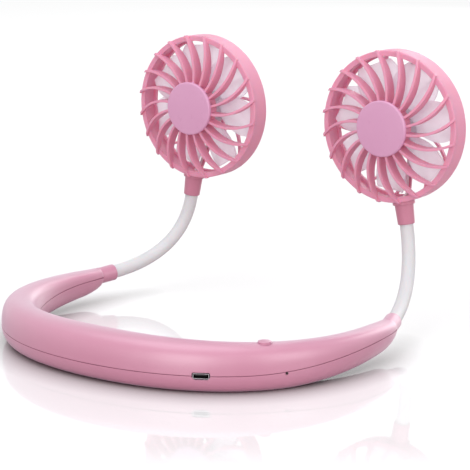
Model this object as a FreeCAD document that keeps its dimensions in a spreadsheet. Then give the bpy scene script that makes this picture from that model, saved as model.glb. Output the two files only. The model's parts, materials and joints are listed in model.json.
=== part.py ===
"""Electric neck fan: a U-shaped neck band that carries two caged fans on bendable goosenecks.

The band stands on the XY plane, +Z is up, its closed back lies at -Y and the fan heads rise
at +Y, facing back over the band.  Millimetres throughout.
"""
import FreeCAD, Part
import math
import os

import Sketcher

doc = FreeCAD.newDocument("neck_fan")
sheet = doc.addObject("Spreadsheet::Sheet", "Sizes")
Vector = FreeCAD.Vector

# Driving sizes
SIZES = {
    # Neck band, a hollow moulding split at a level seam
    "seam_height": 8.8,
    "underside_cut": 0.5,
    "band_back": 83.5,
    "back_handle": 76.6,
    "side_reach": 102.0,
    "side_setback": 32.9,
    "arm_spread": 92.2,
    "arm_reach": 26.8,
    "back_half_width": 10.6,
    "end_half_width": 5.8,
    "back_crown": 15.0,
    "end_crown": 9.8,
    "end_belly": 2.4,
    "shell_wall": 2.2,
    "end_rounding": 1.2,
    # Fits and cuts
    "fit_gap": 0.1,
    "press_gap": 0.025,
    "slide_gap": 0.3,
    "overrun": 5.0,
    # Screws that close the band
    "screw_radius": 1.0,
    "screw_head_radius": 2.1,
    "screw_head_height": 1.5,
    "screw_recess": 2.2,
    "screw_reach": 17.0,
    "boss_radius": 2.7,
    # Rechargeable cells
    "cell_radius": 6.8,
    "cell_length": 46.0,
    "cell_height": 10.4,
    "cell_step": 1.0,
    "cell_cap_radius": 2.6,
    "cradle_thickness": 1.6,
    # Control board and what it carries
    "board_half_width": 5.0,
    "board_thickness": 1.2,
    "board_drop": 1.3,
    "post_radius": 1.8,
    "socket_width": 7.6,
    "socket_length": 5.6,
    "socket_height": 2.6,
    "socket_wall": 0.35,
    "socket_inset": 0.7,
    "tongue_thickness": 0.6,
    "tongue_width": 5.5,
    "socket_opening_gap": 0.4,
    "led_size": 1.6,
    "lens_radius": 0.6,
    "switch_side": 6.0,
    "switch_height": 3.5,
    "plunger_radius": 1.7,
    "plunger_rise": 1.2,
    "plunger_depth": 1.2,
    # Power button
    "button_radius": 3.2,
    "button_rise": 0.9,
    "button_travel": 0.6,
    "button_edge_drop": 0.6,
    "button_flange_drop": 2.4,
    "button_flange": 1.0,
    "button_flange_thickness": 1.2,
    "button_stem_radius": 1.5,
    # Goosenecks and their collars
    "collar_radius": 4.4,
    "collar_show": 10.0,
    "collar_depth": 8.0,
    "collar_step": 1.2,
    "collar_spigot_radius": 3.2,
    "collar_lip": 0.4,
    "collar_seat_gap": 0.3,
    "collar_approach": 8.0,
    "sleeve_radius": 3.5,
    "sleeve_bore": 2.3,
    "core_radius": 2.15,
    "core_bore": 1.2,
    "lead_radius": 0.7,
    "sleeve_insert": 6.0,
    "neck_bend_radius": 36.0,
    "neck_corner_drop": 35.0,
    # Where the fan heads stand
    "head_spread": 61.0,
    "head_plane": 75.1,
    "head_height": 103.4,
    # Fan cage
    "ring_radius": 39.0,
    "ring_wall": 1.8,
    "ring_depth": 11.5,
    "ring_rounding": 1.2,
    "rim_depth": 2.0,
    "rim_bevel": 0.6,
    "lip_depth": 2.0,
    "lip_wall": 1.0,
    "hub_radius": 13.0,
    "hub_wall": 1.6,
    "hub_front": 6.0,
    "hub_back": 0.8,
    "hub_plate": 1.5,
    "fin_thickness": 1.3,
    "fin_bend_radius": 30.0,
    "fin_front_radius": 62.0,
    "fin_overhang": 0.35,
    "fin_rim_rise": 0.9,
    "rear_lip": 1.2,
    "rear_dome": 7.5,
    "rear_dome_radius": 70.0,
    "rear_rib_thickness": 1.3,
    "rear_rib_depth": 2.0,
    "rear_rib_bend_radius": 34.0,
    "spoke_width": 2.8,
    "spoke_depth": 1.0,
    # Hub disc on the cage's front
    "cap_radius": 14.4,
    "cap_edge": 1.8,
    "cap_rounding": 0.9,
    "cap_crown": 0.5,
    "peg_radius": 2.1,
    "peg_length": 2.6,
    # Stem between cage and gooseneck
    "stem_setback": 6.2,
    "stem_end": 50.7,
    "stem_top_radius": 4.9,
    "stem_end_radius": 4.4,
    "flange_radius": 5.8,
    "flange_thickness": 1.5,
    "saddle_rise": 1.0,
    "spigot_radius": 3.0,
    "stem_bore_radius": 1.6,
    # Motor
    "motor_radius": 8.8,
    "motor_length": 11.0,
    "motor_rounding": 0.8,
    "motor_boss_radius": 3.0,
    "motor_boss_rise": 1.0,
    "motor_cup_wall": 1.5,
    "motor_cup_depth": 6.0,
    "motor_cup_plate": 2.2,
    "bush_radius": 2.2,
    "bush_length": 2.2,
    "shaft_radius": 1.0,
    "shaft_gap": 0.06,
    "shaft_tail": 1.0,
    "shaft_bevel": 0.25,
    "motor_screw_spread": 6.0,
    "motor_screw_radius": 0.85,
    "motor_screw_head_radius": 1.5,
    "motor_screw_head_height": 0.8,
    "motor_screw_length": 4.0,
    # Impeller
    "impeller_front": 2.5,
    "impeller_back": 12.4,
    "impeller_hub_radius": 11.0,
    "impeller_hub_wall": 1.2,
    "impeller_plate": 1.6,
    "impeller_boss_radius": 2.8,
    "impeller_boss_depth": 0.6,
    "impeller_rounding": 0.8,
    "blade_middle": 6.9,
    "blade_thickness": 0.9,
    "blade_root_place": 10.0,
    "blade_root_half": 4.3,
    "blade_root_rise": 3.9,
    "blade_root_bow": 16.0,
    "blade_belly_place": 23.0,
    "blade_belly_half": 11.0,
    "blade_belly_rise": 4.2,
    "blade_belly_bow": 36.0,
    "blade_tip_place": 33.4,
    "blade_tip_half": 8.6,
    "blade_tip_rise": 2.0,
    "blade_tip_bow": 30.0,
}

# Angles in degrees, counts, and shares of the band's half length or of a quarter outline
HEAD_LEAN_DEGREES = 9.4
FIN_TURN_DEGREES = 58.0
REAR_RIB_TURN_DEGREES = 47.0
FIN_COUNT = 20
REAR_RIB_COUNT = 13
BLADE_COUNT = 7
TAPER_POWER = 1.5
FULLNESS_SHARE = 0.62
FLAT_UNDERSIDE_SHARE = 0.84
SECTION_SHARES = (0.0, 0.17, 0.33, 0.5, 0.65, 0.76, 0.84, 0.9, 0.95, 1.0)
CAVITY_SHARE = 0.96
CORNER_SHARE = 0.45
SOCKET_SHARE = 0.29
BUTTON_SHARE = 0.47
LENS_SHARE = 0.52
BOARD_SHARES = (0.27, 0.405, 0.54)
POST_SHARES = (0.345, 0.43)
SCREW_SHARES = (-0.59, 0.0, 0.59)
LONG_LEAD_SHARES = (
    0.285, 0.27, 0.2, 0.12, 0.04, -0.04, -0.12, -0.2, -0.28, -0.36, -0.44, -0.52, -0.59, -0.66, -0.73, -0.8
)
SHORT_LEAD_SHARES = (0.53, 0.59, 0.66, 0.73, 0.8)
CRADLE_SHARES = (0.2, 0.8)
LEAD_OFFSET_SHARE = 0.45
LEAD_RISE_SHARE = 0.55
ARM_LEAD_RISE_SHARE = 0.4
CELL_SHARES = (0.015, 0.255)
SLOT_CORNER_SHARE = 0.3
ALIGNED_SHARE = 0.99
VOLUME_SHARE = 0.01

SIDES = {"left": -1, "right": 1}


class Size:
    """A length that carries its number and the sheet formula it comes from."""

    def __init__(self, value, formula):
        self.value = float(value)
        self.formula = formula

    def __float__(self):
        return self.value

    def __add__(self, other):
        other = as_size(other)
        return Size(self.value + other.value, f"({self.formula} + {other.formula})")

    def __sub__(self, other):
        other = as_size(other)
        return Size(self.value - other.value, f"({self.formula} - {other.formula})")

    def __rsub__(self, other):
        return as_size(other) - self

    def __mul__(self, other):
        other = as_size(other)
        return Size(self.value * other.value, f"({self.formula} * {other.formula})")

    def __truediv__(self, other):
        other = as_size(other)
        return Size(self.value / other.value, f"({self.formula} / {other.formula})")

    def __neg__(self):
        return 0 - self

    __radd__ = __add__
    __rmul__ = __mul__


def as_size(value):
    """Gives a plain number the same form as a size."""
    if isinstance(value, Size):
        return value
    return Size(value, repr(float(value)))


class Sizes:
    """Every cell of the sheet as a size, under its alias."""

    def __init__(self, values):
        for row, (name, value) in enumerate(values.items(), start=1):
            sheet.set(f"A{row}", name)
            sheet.set(f"B{row}", str(value))
            sheet.setAlias(f"B{row}", name)
            setattr(self, name, Size(value, f"Sizes.{name}"))


of = Sizes(SIZES)
doc.recompute()


# Modelling helpers
def bind(thing, **sizes):
    """Ties properties of a document object to cells of the sheet."""
    for name, size in sizes.items():
        setattr(thing, name, float(size))
        if isinstance(size, Size):
            thing.setExpression(name, size.formula)
    return thing


def new_body(label, place=None):
    """An empty body, placed once its features are known."""
    body = doc.addObject("PartDesign::Body", label)
    body.Label = label
    body.AllowCompound = True
    if place is not None:
        body.Placement = place
    return body


def worked_out(value):
    """A size that the code works out, so that no cell holds it."""
    return Size(value, repr(float(value)))


def dome_radius(half_width, rise):
    """The radius of a shallow dome of a given half width and rise."""
    return (half_width * half_width + rise * rise) / (rise * 2)


def arc_between(start, end, radius):
    """The short arc of a signed radius; a positive one bows to the right of the way travelled."""
    chord = end - start
    left = Vector(-chord.y, chord.x, 0).normalize()
    half = chord.Length / 2
    reach = math.sqrt(radius * radius - half * half)
    centre = (start + end) / 2 + left * math.copysign(reach, radius)
    if radius > 0:
        first, last = start, end
    else:
        first, last = end, start
    circle = Part.Circle(centre, Vector(0, 0, 1), abs(radius))
    angles = [math.atan2(point.y - centre.y, point.x - centre.x) for point in (first, last)]
    return Part.ArcOfCircle(circle, angles[0], angles[1])


def pin_corner(sketch, side, end, corner):
    """Ties one corner of an outline to its two sizes."""
    axes = (("DistanceX", -2), ("DistanceY", -1))
    for (kind, axis), size in zip(axes, corner):
        if not isinstance(size, Size):
            sketch.addConstraint(Sketcher.Constraint("PointOnObject", side, end, axis))
            continue
        rule = Sketcher.Constraint(kind, -1, 1, side, end, float(size))
        index = sketch.addConstraint(rule)
        sketch.setExpression(f"Constraints[{index}]", size.formula)


def draw_outline(sketch, corners):
    """A closed outline, drawn anticlockwise: (across, up) or, before an arc, (across, up, radius)."""
    points = [Vector(float(corner[0]), float(corner[1]), 0) for corner in corners]
    ends = []
    for index, corner in enumerate(corners):
        start, end = points[index], points[(index + 1) % len(points)]
        if len(corner) == 2:
            side = sketch.addGeometry(Part.LineSegment(start, end))
            ends.append((side, 1, 2))
        else:
            side = sketch.addGeometry(arc_between(start, end, float(corner[2])))
            ends.append((side, 1, 2) if float(corner[2]) > 0 else (side, 2, 1))
    for index, (side, start, end) in enumerate(ends):
        after = ends[(index + 1) % len(ends)]
        sketch.addConstraint(Sketcher.Constraint("Coincident", side, end, after[0], after[1]))
    for (side, start, end), corner in zip(ends, corners):
        pin_corner(sketch, side, start, corner[:2])
        if len(corner) == 3:
            radius = corner[2] if float(corner[2]) > 0 else -corner[2]
            index = sketch.addConstraint(Sketcher.Constraint("Radius", side, float(radius)))
            sketch.setExpression(f"Constraints[{index}]", radius.formula)


def draw_circle(sketch, radius, across=0, up=0):
    """A circle whose centre and radius follow the sheet."""
    centre = Vector(float(across), float(up), 0)
    side = sketch.addGeometry(Part.Circle(centre, Vector(0, 0, 1), float(radius)))
    index = sketch.addConstraint(Sketcher.Constraint("Radius", side, float(radius)))
    sketch.setExpression(f"Constraints[{index}]", radius.formula)
    pin_corner(sketch, side, 3, (across, up))


def new_sketch(body, plane, shift=None):
    """A sketch on one of the body's own planes, moved along the plane's normal by a size."""
    sketch = body.newObject("Sketcher::SketchObject", f"{body.Name}_outline")
    support = [item for item in body.Origin.OriginFeatures if item.Role == plane][0]
    sketch.AttachmentSupport = [(support, "")]
    sketch.MapMode = "FlatFace"
    if shift is not None:
        sketch.AttachmentOffset = FreeCAD.Placement(Vector(0, 0, float(shift)), FreeCAD.Rotation())
        sketch.setExpression("AttachmentOffset.Base.z", shift.formula)
    return sketch


def revolve(body, *outlines, plane="XZ_Plane", kind="PartDesign::Revolution"):
    """Turns outlines of radius and height about the upright axis of their plane."""
    sketch = new_sketch(body, plane)
    for corners in outlines:
        draw_outline(sketch, corners)
    feature = body.newObject(kind, f"{body.Name}_turned")
    feature.Profile = sketch
    feature.ReferenceAxis = (sketch, ["V_Axis"])
    feature.Angle = 360
    doc.recompute()
    return feature


def pad(body, sketch, length, reverse=False, both_ways=False):
    """Raises a sketch into a solid."""
    feature = body.newObject("PartDesign::Pad", f"{body.Name}_raised")
    feature.Profile = sketch
    bind(feature, Length=length)
    feature.Reversed = reverse
    if both_ways:
        feature.SideType = "Symmetric"
    doc.recompute()
    return feature


def pocket(body, sketch, length, reverse=False, both_ways=False):
    """Sinks a sketch into the solid, and makes sure that it took material away."""
    before = body.Shape.Volume
    feature = body.newObject("PartDesign::Pocket", f"{body.Name}_sunk")
    feature.Profile = sketch
    bind(feature, Length=length)
    feature.Reversed = reverse
    if both_ways:
        feature.SideType = "Symmetric"
    doc.recompute()
    if body.Shape.Volume >= before:
        raise ValueError(f"{feature.Label} cuts nothing")
    return feature


def spread_round(body, features, count):
    """Repeats features evenly round the body's upright axis."""
    pattern = body.newObject("PartDesign::PolarPattern", f"{body.Name}_repeated")
    pattern.Originals = features
    axis = [item for item in body.Origin.OriginFeatures if item.Role == "Z_Axis"][0]
    pattern.Axis = (axis, [""])
    pattern.Angle = 360
    pattern.Occurrences = count
    body.Tip = pattern
    doc.recompute()
    return pattern


def primitive(kind, label, place, **sizes):
    """A solid of the Part workbench, tied to the sheet and placed."""
    solid = doc.addObject(kind, label)
    bind(solid, **sizes)
    solid.Placement = place
    return solid


def join(label, kind, *shapes):
    """A boolean of several document objects."""
    result = doc.addObject(kind, label)
    result.Shapes = list(shapes)
    return result


def cut(label, base, *tools):
    """The base with every tool taken out of it."""
    result = doc.addObject("Part::Cut", label)
    result.Base = base
    result.Tool = tools[0] if len(tools) == 1 else join(f"{label}_tools", "Part::MultiFuse", *tools)
    return result


def compound(label, pieces):
    """Several separate solids kept as one piece."""
    group = doc.addObject("Part::Compound", label)
    group.Links = pieces
    return group


def keep_shape(label, shape):
    """A document object for a form that sketches and primitives cannot give."""
    thing = doc.addObject("Part::Feature", label)
    thing.Shape = shape
    return thing


def facing(direction, spot):
    """A placement whose upright axis points along a direction."""
    return FreeCAD.Placement(spot, FreeCAD.Rotation(Vector(0, 0, 1), direction))


# The band's course
class Station:
    """A cross-section of the band, at a share of its half length; a negative share is on the left."""

    def __init__(self, share):
        course = abs(share)
        mirror = -1 if share < 0 else 1
        corners = (
            (0.0, -float(of.band_back)),
            (float(of.back_handle), -float(of.band_back)),
            (float(of.side_reach), -float(of.side_setback)),
            (float(of.arm_spread), float(of.arm_reach)),
        )
        curve = Part.BezierCurve()
        curve.setPoles([Vector(across, along, 0) for across, along in corners])
        spot = curve.value(course)
        way = curve.tangent(course)[0]
        self.spot = Vector(mirror * spot.x, spot.y, float(of.seam_height))
        self.along = Vector(way.x, mirror * way.y, 0)
        self.outward = Vector(self.along.y, -self.along.x, 0)
        taper = 1 - course**TAPER_POWER
        lift = max(course - FLAT_UNDERSIDE_SHARE, 0.0) / (1 - FLAT_UNDERSIDE_SHARE)
        full_belly = float(of.seam_height + of.underside_cut)
        self.half_width = blend(of.end_half_width, of.back_half_width, taper)
        self.crown = blend(of.end_crown, of.back_crown, taper)
        self.belly = blend(full_belly, of.end_belly, lift * lift)

    def place(self, across=0.0, rise=0.0):
        """A point of the section, measured outward and up from the seam."""
        return self.spot + self.outward * across + Vector(0, 0, rise)

    def outline(self, inset=0.0):
        """The section's outline: four full quarter curves, widest at the seam."""
        wide = self.half_width - inset
        tops = (self.crown - inset, -(self.belly - inset))
        quarters = ((wide, tops[0]), (-wide, tops[0]), (-wide, tops[1]), (wide, tops[1]))
        edges = []
        for index, (across, rise) in enumerate(quarters):
            side_first = index % 2 == 0
            poles = [
                self.place(across, 0),
                self.place(across, rise * FULLNESS_SHARE),
                self.place(across * FULLNESS_SHARE, rise),
                self.place(0, rise),
            ]
            curve = Part.BezierCurve()
            curve.setPoles(poles if side_first else poles[::-1])
            edges.append(curve.toShape())
        return Part.Wire(edges)


def blend(start, end, share):
    """A number between two sizes."""
    return float(start) + (float(end) - float(start)) * share


def band_loft(label, reach, inset):
    """The band's form through sections that lie closer together towards its ends."""
    loft = doc.addObject("Part::Loft", label)
    sections = []
    left = [-share for share in SECTION_SHARES[:0:-1]]
    for share in (*left, *SECTION_SHARES):
        wire = keep_shape(f"{label}_section", Station(reach * share).outline(float(inset)))
        sections.append(wire)
    loft.Sections = sections
    loft.Solid = True
    return loft


def rounded_ends(label, solid, radius):
    """Rounds the edges of the band's two flat ends."""
    doc.recompute()
    flats = [face for face in solid.Shape.Faces if isinstance(face.Surface, Part.Plane)]
    rims = [edge for face in flats for edge in face.Edges]
    numbers = []
    for number, edge in enumerate(solid.Shape.Edges, start=1):
        if any(edge.isSame(rim) for rim in rims):
            numbers.append((number, float(radius), float(radius)))
    result = doc.addObject("Part::Fillet", label)
    result.Base = solid
    result.Edges = numbers
    return result


# Where the goosenecks and heads stand
class Arm:
    """The places of one side's collar, gooseneck and fan head."""

    def __init__(self, side):
        self.side = side
        sign = SIDES[side]
        lean = FreeCAD.Rotation(Vector(0, 1, 0), -sign * HEAD_LEAN_DEGREES)
        upright = FreeCAD.Rotation(Vector(1, 0, 0), 90)
        centre = Vector(sign * float(of.head_spread), float(of.head_plane), float(of.head_height))
        self.head = FreeCAD.Placement(centre, lean * upright)
        self.up = lean.multVec(Vector(0, 0, 1))
        stem_axis = centre + Vector(0, float(of.stem_setback), 0)
        self.stem_mouth = stem_axis - self.up * float(of.stem_end)
        end = Station(sign)
        self.seat = end.place(0, float(of.collar_radius + of.collar_seat_gap))
        corner = self.stem_mouth - self.up * float(of.neck_corner_drop)
        self.out = (corner - self.seat).normalize()
        self.collar_mouth = self.seat + self.out * float(of.collar_show)
        self.low_end = self.collar_mouth - self.out * float(of.sleeve_insert)
        self.high_end = self.stem_mouth + self.up * float(of.sleeve_insert)
        self.neck = route([self.low_end, corner, self.high_end], float(of.neck_bend_radius))


def route(points, radius=None):
    """A path of straight runs joined by tangent arcs, as large as the runs allow unless given."""
    edges = []
    start = points[0]
    for before, corner, after in zip(points, points[1:], points[2:]):
        back, ahead = before - corner, after - corner
        half_turn = (math.pi - back.getAngle(ahead)) / 2
        bend = radius
        if bend is None:
            bend = CORNER_SHARE * min(back.Length, ahead.Length) / math.tan(half_turn)
        trim = bend * math.tan(half_turn)
        back.normalize()
        ahead.normalize()
        leave, meet = corner + back * trim, corner + ahead * trim
        middle = (back + ahead).normalize()
        crown = corner + middle * (bend / math.cos(half_turn) - bend)
        edges.append(Part.LineSegment(start, leave).toShape())
        edges.append(Part.Arc(leave, crown, meet).toShape())
        start = meet
    edges.append(Part.LineSegment(start, points[-1]).toShape())
    return Part.Wire(edges)


def tube(label, path, radius):
    """A round solid swept along a path, with its volume compared with section times length."""
    first = path.Edges[0]
    start = first.FirstParameter
    circle = Part.Circle(first.valueAt(start), first.tangentAt(start), float(radius))
    spine = keep_shape(f"{label}_path", path)
    sweep = doc.addObject("Part::Sweep", label)
    sweep.Sections = [keep_shape(f"{label}_section", Part.Wire([circle.toShape()]))]
    sweep.Spine = (spine, [f"Edge{number}" for number in range(1, len(path.Edges) + 1)])
    sweep.Solid = True
    doc.recompute()
    expected = math.pi * float(radius) ** 2 * path.Length
    if abs(sweep.Shape.Volume - expected) > VOLUME_SHARE * expected:
        raise ValueError(f"{label} has lost volume along its path")
    return sweep


ARMS = {side: Arm(side) for side in SIDES}
NODES = []


def node(thing, label):
    """Names a finished piece and puts it on the list that is written out."""
    thing.Label = label
    NODES.append(thing)
    return thing


# Cutters shared by the two band shells
band_form = rounded_ends("band_form", band_loft("band_loft", 1.0, 0), of.end_rounding)
band_hollow = band_loft("band_hollow", CAVITY_SHARE, of.shell_wall)
UPRIGHT = FreeCAD.Rotation()


def upright_cylinder(label, spot, radius, low, high):
    """A cylinder along Z between two heights, at a station's point."""
    place = FreeCAD.Placement(Vector(spot.x, spot.y, float(low)), UPRIGHT)
    return primitive("Part::Cylinder", label, place, Radius=radius, Height=high - low)


def collar_bores():
    """The stepped holes that take the two collars, straight into the band's ends."""
    bores = []
    steps = ((of.collar_depth, of.collar_spigot_radius), (of.collar_step, of.collar_radius))
    for side, arm in ARMS.items():
        for depth, radius in steps:
            place = facing(arm.out, arm.seat - arm.out * float(depth))
            gap = of.fit_gap / 2
            label = f"collar_bore_{side}"
            bores.append(
                primitive("Part::Cylinder", label, place, Radius=radius + gap, Height=depth + of.overrun)
            )
    return bores


def level_box(label, spot, along, length, width, low, high):
    """A level block centred on a spot, its length along a direction."""
    turn = FreeCAD.Rotation(Vector(1, 0, 0), along)
    start = spot - along * (float(length) / 2) + Vector(along.y, -along.x, 0) * (float(width) / 2)
    place = FreeCAD.Placement(Vector(start.x, start.y, float(low)), turn)
    return primitive("Part::Box", label, place, Length=length, Width=width, Height=high - low)


def room_box(label, low, high):
    """A block over the whole band between two heights."""
    reach = of.side_reach + of.overrun
    back = of.band_back + of.back_half_width + of.overrun
    front = of.arm_reach + of.collar_show + of.overrun
    place = FreeCAD.Placement(Vector(-float(reach), -float(back), float(low)), UPRIGHT)
    return primitive("Part::Box", label, place, Length=reach * 2, Width=back + front, Height=high - low)


seam = of.seam_height
board_top = seam - of.board_drop
board_under = board_top - of.board_thickness
button_station = Station(BUTTON_SHARE)
socket_station = Station(SOCKET_SHARE)
lens_station = Station(LENS_SHARE)
socket_mouth = socket_station.half_width - float(of.socket_inset)


def socket_opening():
    """The slot at the seam through which the charging socket is reached."""
    wide = of.socket_width + of.socket_opening_gap * 2
    tall = of.socket_height + of.socket_opening_gap * 2
    low = seam - tall / 2
    spot = socket_station.place(socket_mouth)
    slot = level_box("socket_slot", spot, socket_station.outward, of.socket_length, wide, low, low + tall)
    slot_corners = doc.addObject("Part::Fillet", "socket_opening")
    slot_corners.Base = slot
    doc.recompute()
    radius = float(tall) * SLOT_CORNER_SHARE
    numbers = []
    for number, edge in enumerate(slot.Shape.Edges, start=1):
        if abs(edge.tangentAt(edge.FirstParameter).dot(socket_station.outward)) > ALIGNED_SHARE:
            numbers.append((number, radius, radius))
    slot_corners.Edges = numbers
    return slot_corners


def lens_hole():
    """The pinhole at the seam for the indicator's light guide."""
    place = facing(lens_station.outward, lens_station.place(float(of.board_half_width)))
    radius = of.lens_radius + of.fit_gap / 2
    length = worked_out(lens_station.half_width)
    return primitive("Part::Cylinder", "lens_hole", place, Radius=radius, Height=length)


bores = collar_bores()
opening = socket_opening()
pinhole = lens_hole()
screw_spots = [Station(share).place() for share in SCREW_SHARES]


def cell_place(side):
    """Where one cell lies: across the band's back, its axis on the chord of the curve."""
    sign = SIDES[side]
    inner = Station(sign * CELL_SHARES[0])
    outer = Station(sign * CELL_SHARES[1])
    along = (outer.spot - inner.spot).normalize()
    start = Vector(inner.spot.x, inner.spot.y, float(of.cell_height))
    middle = Station(sign * sum(CELL_SHARES) / 2)
    bow = (middle.spot - (inner.spot + outer.spot) / 2).Length / 2
    return facing(along, start + middle.outward * bow)


def cradles(side):
    """Two upright plates under a cell, hollowed to its round."""
    place = cell_place(side)
    along = place.Rotation.multVec(Vector(0, 0, 1))
    plates = []
    for index, share in enumerate(CRADLE_SHARES):
        spot = place.Base + along * (float(of.cell_length) * share)
        wide = of.back_half_width * 2
        label = f"cradle_{side}_{index}"
        floor = as_size(0)
        plates.append(level_box(label, spot, along, of.cradle_thickness, wide, floor, of.cell_height))
    room = primitive(
        "Part::Cylinder",
        f"cell_room_{side}",
        FreeCAD.Placement(place.Base - along * float(of.overrun), place.Rotation),
        Radius=of.cell_radius + of.fit_gap,
        Height=of.cell_length + of.overrun * 2,
    )
    return cut(f"cradle_pair_{side}", join(f"cradle_plates_{side}", "Part::MultiFuse", *plates), room)


# Upper shell of the band: crown, screw bosses and the button's opening
def make_upper_shell():
    top = seam + of.back_crown + of.overrun
    crown_block = room_box("crown_block", seam, top)
    crown_form = join("crown_form", "Part::MultiCommon", band_form, crown_block)
    bosses = []
    pilots = []
    for index, spot in enumerate(screw_spots):
        bosses.append(upright_cylinder(f"boss_{index}", spot, of.boss_radius, seam - of.overrun, top))
        bore = of.screw_radius + of.press_gap
        reach = of.screw_reach + of.fit_gap
        pilots.append(upright_cylinder(f"pilot_{index}", spot, bore, as_size(0), reach))
    hollow = cut("crown_hollow", band_hollow, *bosses)
    wide = of.button_radius + of.slide_gap
    hole = upright_cylinder("button_hole", button_station.spot, wide, seam, top)
    shell = cut("upper_shell", crown_form, hollow, *pilots, *bores, opening, pinhole, hole)
    return node(shell, "upper_shell")


# Lower shell of the band: belly with a flat underside, screw pillars, cell cradles and board posts
def make_lower_shell():
    floor = as_size(0)
    belly_block = room_box("belly_block", floor, seam)
    belly_form = join("belly_form", "Part::MultiCommon", band_form, belly_block)
    inside = []
    holes = []
    for index, spot in enumerate(screw_spots):
        pillar_top = seam + of.overrun
        inside.append(upright_cylinder(f"pillar_{index}", spot, of.boss_radius, floor, pillar_top))
        bore = of.screw_radius + of.fit_gap
        holes.append(upright_cylinder(f"screw_hole_{index}", spot, bore, floor, seam))
        wide = of.screw_head_radius + of.fit_gap
        holes.append(upright_cylinder(f"screw_recess_{index}", spot, wide, -of.overrun, of.screw_recess))
    for index, share in enumerate(POST_SHARES):
        spot = Station(share).place()
        inside.append(upright_cylinder(f"board_post_{index}", spot, of.post_radius, floor, board_under))
    inside.extend(cradles(side) for side in SIDES)
    hollow = cut("belly_hollow", band_hollow, *inside)
    shell = cut("lower_shell", belly_form, hollow, *holes, opening, pinhole)
    return node(shell, "lower_shell")


# Screws that draw the shells together from below
def make_shell_screws():
    screws = []
    for index, spot in enumerate(screw_spots):
        head_seat = of.screw_recess
        head = upright_cylinder(
            f"screw_head_{index}", spot, of.screw_head_radius, head_seat - of.screw_head_height, head_seat
        )
        shank = upright_cylinder(f"screw_shank_{index}", spot, of.screw_radius, head_seat, of.screw_reach)
        screws.append(join(f"screw_{index}", "Part::MultiFuse", head, shank))
    return node(compound("shell_screws", screws), "shell_screws")


# Rechargeable cells: drawn cans with a stepped positive cap
def make_cell(side):
    body = new_body(f"battery_cell_{side}", cell_place(side))
    step = of.cell_step
    revolve(
        body,
        [
            (0, 0),
            (of.cell_radius - step / 2, 0, step / 2),
            (of.cell_radius, step / 2),
            (of.cell_radius, of.cell_length - step * 2, step),
            (of.cell_radius - step, of.cell_length - step),
            (of.cell_cap_radius, of.cell_length - step),
            (of.cell_cap_radius, of.cell_length),
            (0, of.cell_length),
        ],
    )
    return node(body, f"battery_cell_{side}")


# Control board: a curved strip that follows the band, level with the charging socket
def make_control_board():
    stations = [Station(share) for share in BOARD_SHARES]
    level = float(board_under - seam)
    outer = [station.place(float(of.board_half_width), level) for station in stations]
    inner = [station.place(-float(of.board_half_width), level) for station in stations]
    edges = [
        Part.Arc(*outer).toShape(),
        Part.LineSegment(outer[-1], inner[-1]).toShape(),
        Part.Arc(*inner[::-1]).toShape(),
        Part.LineSegment(inner[0], outer[0]).toShape(),
    ]
    board = doc.addObject("Part::Extrusion", "control_board")
    board.Base = keep_shape("board_outline", Part.Wire(edges))
    board.DirMode = "Custom"
    board.Dir = Vector(0, 0, 1)
    bind(board, LengthFwd=of.board_thickness)
    board.Solid = True
    return node(board, "control_board")


# Charging socket: a drawn metal shell round a plastic tongue, mouth outward at the seam
def make_usb_socket():
    way = socket_station.outward
    low = board_top
    high = board_top + of.socket_height
    wall = of.socket_wall
    middle = socket_mouth - float(of.socket_length) / 2
    length = of.socket_length
    depth = length - wall
    wide = of.socket_width
    shell = level_box("socket_shell", socket_station.place(middle), way, length, wide, low, high)
    mouth_spot = socket_station.place(middle + float(wall))
    inner = wide - wall * 2
    room = level_box("socket_room", mouth_spot, way, length, inner, low + wall, high - wall)
    tongue_low = low + of.socket_height / 2
    tongue = level_box(
        "socket_tongue",
        socket_station.place(middle - float(wall)),
        way,
        depth - wall,
        of.tongue_width,
        tongue_low,
        tongue_low + of.tongue_thickness,
    )
    return node(join("usb_socket", "Part::MultiFuse", cut("socket_can", shell, room), tongue), "usb_socket")


# Push switch under the button, with its well for the plunger
def make_tact_switch():
    top = board_top + of.switch_height
    spot = button_station.spot
    side = of.switch_side
    case = level_box("switch_case", spot, button_station.along, side, side, board_top, top)
    well_floor = top - of.plunger_depth - of.button_travel * 2
    well = upright_cylinder("switch_well", spot, of.plunger_radius + of.slide_gap, well_floor, top)
    return node(cut("tact_switch", case, well), "tact_switch")


def make_switch_plunger():
    top = board_top + of.switch_height
    spot = button_station.spot
    low = top - of.plunger_depth
    plunger = upright_cylinder("switch_plunger", spot, of.plunger_radius, low, top + of.plunger_rise)
    return node(plunger, "switch_plunger")


# Indicator: a small lamp on the board's edge and a clear guide out to the seam
def make_status_led():
    side = of.led_size
    spot = lens_station.place(float(of.board_half_width - side / 2))
    lamp = level_box("status_led", spot, lens_station.outward, side, side, board_top, board_top + side)
    return node(lamp, "status_led")


def make_indicator_lens():
    start = float(of.board_half_width)
    length = worked_out(lens_station.half_width - start - float(of.fit_gap))
    place = facing(lens_station.outward, lens_station.place(start))
    lens = primitive("Part::Cylinder", "indicator_lens", place, Radius=of.lens_radius, Height=length)
    return node(lens, "indicator_lens")


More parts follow.
